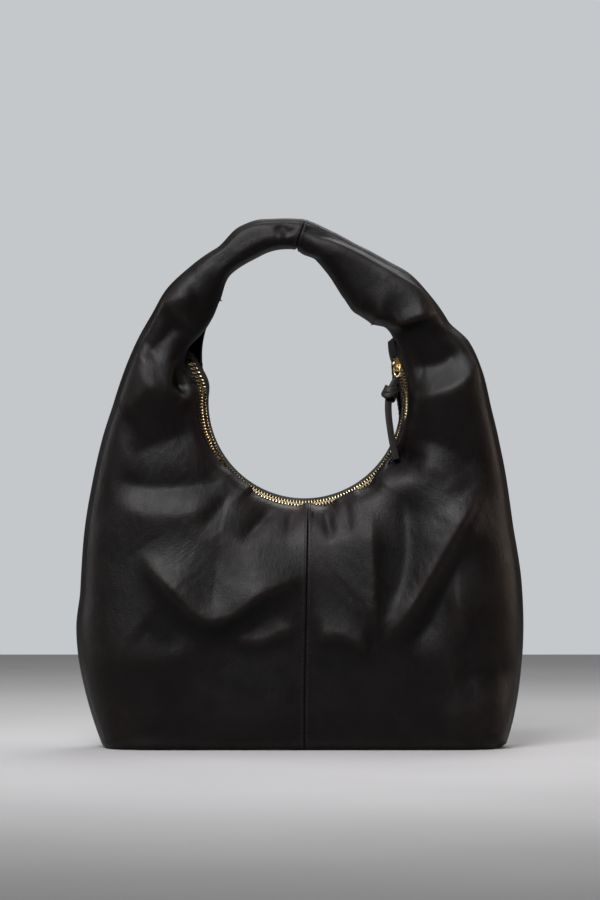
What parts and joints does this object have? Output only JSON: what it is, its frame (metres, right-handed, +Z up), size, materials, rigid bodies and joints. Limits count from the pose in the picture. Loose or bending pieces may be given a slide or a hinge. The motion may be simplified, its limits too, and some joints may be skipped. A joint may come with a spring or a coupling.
{
  "type": "hobo bag",
  "caption": "Soft black leather hobo bag with a looped one-piece handle, flat boxed base and curved zip with a knotted thong pull.",
  "frame": {"origin": "centre of the base's underside, where the bag stands on a table", "axes": "+Z up towards the handle, +X to the bag's right as seen from its front, -Y out of the front"},
  "size_m": [0.4009, 0.124, 0.477],
  "materials": {
    "bag_leather": "smooth black nappa leather, soft sheen",
    "facing_leather": "smooth black leather, cut strips",
    "lining_fabric": "matt black twill",
    "board": "grey fibre board, hidden",
    "webbing": "black woven webbing, hidden",
    "zip_tape": "black woven zip tape",
    "gold_metal": "polished light gold plating",
    "thong_leather": "black leather cord, cut edges"
  },
  "bodies": {
    "bag": {"front_left_panel": "bag_leather", "front_right_panel": "bag_leather", "back_left_panel": "bag_leather", "back_right_panel": "bag_leather", "base_panel": "bag_leather", "mouth_facing_front": "facing_leather", "mouth_facing_back": "facing_leather", "zip_end_tab_left": "facing_leather", "zip_end_tab_right": "facing_leather", "lining_front": "lining_fabric", "lining_back": "lining_fabric", "lining_base": "lining_fabric", "slip_pocket": "lining_fabric", "base_board": "board", "handle_webbing": "webbing", "zip_tape_front": "zip_tape", "zip_tape_back": "zip_tape", "zip_teeth_front": "gold_metal", "zip_teeth_back": "gold_metal", "zip_top_stops": "gold_metal", "zip_bottom_stop": "gold_metal"},
    "slider": {"slider_body": "gold_metal"},
    "link": {"pull_link": "gold_metal"},
    "thong": {"pull_thong": "thong_leather", "pull_knot": "thong_leather"}
  },
  "joints": [
    {"name": "slider_travel", "type": "hinge", "parent": "bag", "child": "slider", "pos_m": [0, 0, 0.311], "axis": [0, 1, 0], "range_deg": [0, 204], "deforming": ["zip_teeth_front", "zip_teeth_back"]},
    {"name": "link_swing", "type": "hinge", "parent": "slider", "child": "link", "pos_m": [0.08284, -0.00297, 0.34363], "axis": [-0.6579, 0.7071, -0.2592], "range_deg": [-1, 100]},
    {"name": "thong_swing", "type": "hinge", "parent": "link", "child": "thong", "pos_m": [0.08454, -0.00474, 0.33445], "axis": [-0.6579, 0.7071, -0.2592], "range_deg": [-1, 25]}
  ]
}
